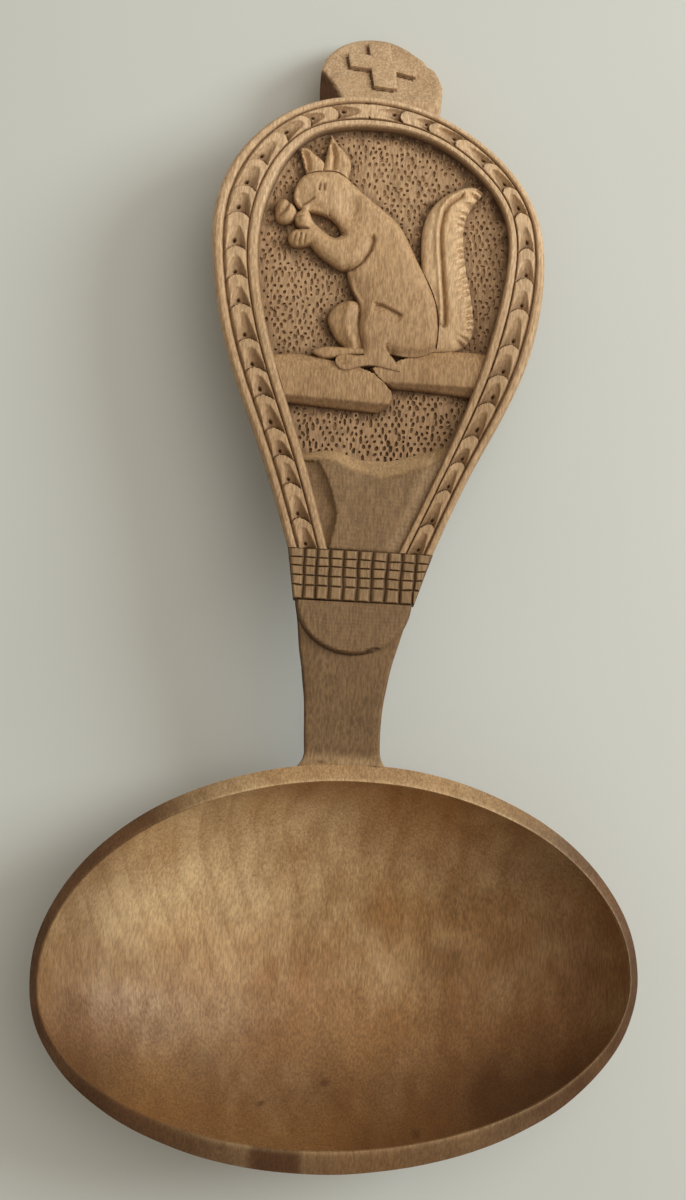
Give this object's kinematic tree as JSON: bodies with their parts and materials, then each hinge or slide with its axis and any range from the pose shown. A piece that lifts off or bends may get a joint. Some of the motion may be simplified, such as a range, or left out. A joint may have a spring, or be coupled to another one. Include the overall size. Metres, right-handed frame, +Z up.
{
  "type": "welsh love spoon",
  "caption": "Carved wooden love spoon: wide oval bowl, short neck, balloon-shaped medallion with a squirrel in relief, and a bent-back hanging finial.",
  "frame": {"origin": "centre of the small flat under the bowl, on the table that the spoon lies on", "axes": "+Y along the spoon from the bowl to the finial, +Z up out of the bowl, +X to the right of the carved face"},
  "size_m": [0.1258, 0.2399, 0.0318],
  "materials": {
    "carved_wood": "close-grained pale wood, knife finish, waxed and darkened by handling"
  },
  "bodies": {
    "root": {"bowl": "carved_wood", "neck": "carved_wood", "tongue": "carved_wood", "lattice_band": "carved_wood", "medallion_plate": "carved_wood", "outer_bead": "carved_wood", "leaf_band": "carved_wood", "inner_bead": "carved_wood", "apron_wedge": "carved_wood", "log_left": "carved_wood", "log_right": "carved_wood", "squirrel_torso": "carved_wood", "squirrel_head": "carved_wood", "squirrel_foreleg": "carved_wood", "squirrel_nut": "carved_wood", "squirrel_haunch": "carved_wood", "squirrel_far_leg": "carved_wood", "squirrel_tail": "carved_wood", "finial_hook": "carved_wood", "finial_cross": "carved_wood"}
  },
  "joints": []
}
